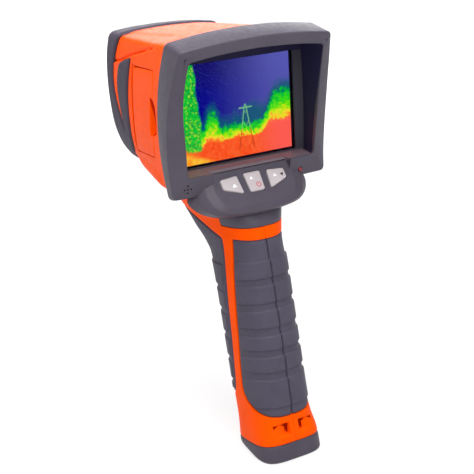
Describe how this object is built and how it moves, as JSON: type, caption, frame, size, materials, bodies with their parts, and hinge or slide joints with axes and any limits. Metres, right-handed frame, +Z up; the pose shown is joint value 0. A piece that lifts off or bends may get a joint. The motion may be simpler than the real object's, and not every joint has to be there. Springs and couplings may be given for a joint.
{
  "type": "thermal imaging camera",
  "caption": "Handheld thermal imaging camera with a pistol grip, a visored rear display over a key panel, a lens in a front bumper, a side port door and a battery in the handle.",
  "frame": {"origin": "centre of the foot's flat underside", "axes": "+Z up the upright camera, +Y forward along the lens, +X to the user's right as they look at the display"},
  "size_m": [0.0962, 0.1435, 0.2339],
  "materials": {
    "orange_case": "bright orange moulded plastic, satin gloss",
    "dark_case": "dark violet-grey moulded plastic, fine texture",
    "soft_grip": "dark violet-grey soft rubber",
    "keys": "light warm grey keys",
    "window": "clear hard-coated window over a dark display",
    "lens": "opaque grey infrared lens, polished",
    "bare_metal": "plain steel",
    "circuit_board": "green board with dark chips",
    "black_plastic": "black moulded plastic",
    "indicator": "red translucent plastic",
    "lamp": "frosted white lamp window",
    "card": "blue card",
    "core_metal": "cast aluminium"
  },
  "bodies": {
    "housing": {"housing_left": "orange_case", "housing_right": "orange_case", "display_hood": "dark_case", "front_bumper": "dark_case", "front_bezel": "dark_case", "rear_grip_left": "soft_grip", "rear_grip_right": "soft_grip", "front_grip": "soft_grip", "keypad_membrane": "soft_grip", "window_gasket": "soft_grip", "screen_window": "window", "front_lens": "lens", "display_panel": "black_plastic", "display_bracket": "bare_metal", "main_board": "circuit_board", "keypad_board": "circuit_board", "port_board": "circuit_board", "status_led": "indicator", "speaker": "black_plastic", "visible_camera": "black_plastic", "lamp_led": "lamp", "laser_module": "bare_metal", "lens_barrel": "black_plastic", "lens_retainer": "black_plastic", "detector_core": "core_metal", "shutter_frame": "black_plastic", "usb_socket": "bare_metal", "video_socket": "black_plastic", "power_jack": "black_plastic", "memory_card": "card", "door_hinge_pin": "bare_metal", "trigger_pin": "bare_metal", "trigger_switch": "black_plastic", "battery_contacts": "bare_metal", "case_screw_1": "bare_metal", "case_screw_2": "bare_metal", "case_screw_3": "bare_metal", "case_screw_4": "bare_metal", "case_screw_5": "bare_metal"},
    "button_left": {"button_left": "keys"},
    "button_middle": {"button_middle": "keys"},
    "button_right": {"button_right": "keys"},
    "trigger": {"trigger": "orange_case"},
    "port_door": {"port_door": "orange_case"},
    "focus_ring": {"focus_ring": "soft_grip"},
    "focus_lens": {"rear_lens": "lens"},
    "battery": {"battery_pack": "black_plastic", "battery_cap": "dark_case"},
    "shutter": {"shutter_blade": "black_plastic"}
  },
  "joints": [
    {"name": "press_left", "type": "slide", "parent": "housing", "child": "button_left", "axis": [0, 0.7738, -0.6334], "range_m": [0, 0.0009], "stiffness_N_per_m": 400},
    {"name": "press_middle", "type": "slide", "parent": "housing", "child": "button_middle", "axis": [0, 0.7738, -0.6334], "range_m": [0, 0.0009], "stiffness_N_per_m": 400},
    {"name": "press_right", "type": "slide", "parent": "housing", "child": "button_right", "axis": [0, 0.7738, -0.6334], "range_m": [0, 0.0009], "stiffness_N_per_m": 400},
    {"name": "pull_trigger", "type": "hinge", "parent": "housing", "child": "trigger", "pos_m": [0, 0.043, 0.119], "axis": [-1, 0, 0], "range_deg": [0, 9], "stiffness_Nm_per_rad": 0.2},
    {"name": "open_port_door", "type": "hinge", "parent": "housing", "child": "port_door", "pos_m": [-0.038, 0.0703, 0.2116], "axis": [0.0362, 0.1486, -0.9882], "range_deg": [0, 80]},
    {"name": "turn_focus", "type": "hinge", "parent": "housing", "child": "focus_ring", "pos_m": [0, 0.1171, 0.196], "axis": [0, 1, 0], "range_deg": [-45, 45]},
    {"name": "focus_travel", "type": "slide", "parent": "housing", "child": "focus_lens", "axis": [0, 1, 0], "range_m": [-0.0011, 0.0011]},
    {"name": "withdraw_battery", "type": "slide", "parent": "housing", "child": "battery", "axis": [0, -0.1891, -0.982], "range_m": [0, 0.09]},
    {"name": "close_shutter", "type": "hinge", "parent": "housing", "child": "shutter", "pos_m": [0.0108, 0.0753, 0.1852], "axis": [0, 1, 0], "range_deg": [0, 53], "stiffness_Nm_per_rad": 0.0005}
  ],
  "couplings": [
    {"joint": "focus_travel", "follows": "turn_focus", "m_per_rad": 0.00127}
  ]
}
